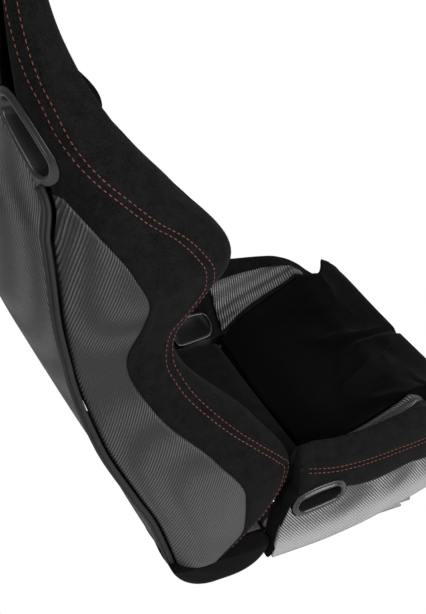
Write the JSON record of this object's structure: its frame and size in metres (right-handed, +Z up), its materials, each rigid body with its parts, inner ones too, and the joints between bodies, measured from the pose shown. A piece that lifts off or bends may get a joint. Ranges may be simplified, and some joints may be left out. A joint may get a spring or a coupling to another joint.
{
  "type": "racing seat",
  "caption": "Reclining bucket racing seat with hip and chest wings, harness and lap belt slots, suede and ribbed vinyl covers, recliner lever and floor slides.",
  "frame": {"origin": "centre of the rectangle of four floor bolt holes, on the underside of the rail feet", "axes": "+Z up, the seat faces -Y, +X to the sitter's left"},
  "size_m": [0.5216, 0.663, 0.937],
  "materials": {
    "suede": "napped suede cloth, near black",
    "panel_vinyl": "ribbed carbon-look vinyl",
    "inlay_vinyl": "ribbed carbon-look vinyl, lighter",
    "insert_cloth": "black woven cloth",
    "rear_suede": "napped suede cloth, dark grey",
    "boot_cloth": "matt black cloth",
    "piping": "glossy black piping cord",
    "bezel": "glossy dark grey moulding",
    "frame_steel": "satin black paint",
    "rail_steel": "zinc-plated steel",
    "plate_zinc": "bright zinc-plated steel",
    "wire": "drawn spring wire",
    "tray": "black moulded plastic",
    "lever": "black moulded plastic",
    "grip": "soft black grip"
  },
  "bodies": {
    "floor_rails": {"lower_rail_l": "rail_steel", "lower_rail_r": "rail_steel", "rail_feet_l": "rail_steel", "rail_feet_r": "rail_steel"},
    "seat_base": {"upper_rail_l": "rail_steel", "upper_rail_r": "rail_steel", "cross_beam_front": "frame_steel", "cross_beam_rear": "frame_steel", "beam_bolts": "plate_zinc", "side_plate_l": "frame_steel", "side_plate_r": "frame_steel", "front_tube": "frame_steel", "rear_tube": "frame_steel", "seat_wires": "wire", "seat_tray": "tray", "recliner_disc_l": "plate_zinc", "recliner_disc_r": "plate_zinc", "cushion_insert": "insert_cloth", "cushion_rear": "rear_suede", "base_bolster_l": "suede", "base_bolster_r": "suede", "base_panel_l": "panel_vinyl", "base_panel_r": "panel_vinyl", "bolster_inlay_l": "inlay_vinyl", "bolster_inlay_r": "inlay_vinyl", "lap_bezel_l": "bezel", "lap_bezel_r": "bezel", "front_apron": "panel_vinyl", "handle_pivot_l": "rail_steel", "handle_pivot_r": "rail_steel"},
    "backrest": {"recliner_arm_l": "frame_steel", "recliner_arm_r": "frame_steel", "arm_disc_l": "plate_zinc", "arm_disc_r": "plate_zinc", "back_tube_l": "frame_steel", "back_tube_r": "frame_steel", "back_cross_bars": "frame_steel", "head_hoop": "frame_steel", "back_wires": "wire", "back_cushion": "insert_cloth", "head_cushion": "suede", "back_bolster_l": "suede", "back_bolster_r": "suede", "side_panel_l": "panel_vinyl", "side_panel_r": "panel_vinyl", "back_panel": "panel_vinyl", "piping_l": "piping", "piping_r": "piping", "harness_bezel_l": "bezel", "harness_bezel_r": "bezel", "harness_trim_l": "bezel", "harness_trim_r": "bezel", "boot_centre": "boot_cloth", "boot_cap_l": "boot_cloth", "boot_cap_r": "boot_cloth"},
    "recline_lever": {"pivot_rod": "plate_zinc", "lever_arm": "lever", "lever_grip": "grip"},
    "slide_handle": {"slide_bar": "frame_steel", "slide_grip": "grip"}
  },
  "joints": [
    {"name": "seat_slide", "type": "slide", "parent": "floor_rails", "child": "seat_base", "axis": [0, -1, 0], "range_m": [-0.09, 0.09]},
    {"name": "recline", "type": "hinge", "parent": "seat_base", "child": "backrest", "pos_m": [0, 0.176, 0.118], "axis": [-1, 0, 0], "range_deg": [0, 60]},
    {"name": "lever_pull", "type": "hinge", "parent": "seat_base", "child": "recline_lever", "pos_m": [0, 0.176, 0.118], "axis": [-1, 0, 0], "range_deg": [0, 30], "stiffness_Nm_per_rad": 1.5, "springref_deg": -17.19},
    {"name": "handle_lift", "type": "hinge", "parent": "seat_base", "child": "slide_handle", "pos_m": [0, -0.139, 0.022], "axis": [-1, 0, 0], "range_deg": [0, 10], "stiffness_Nm_per_rad": 2, "springref_deg": -28.65}
  ]
}
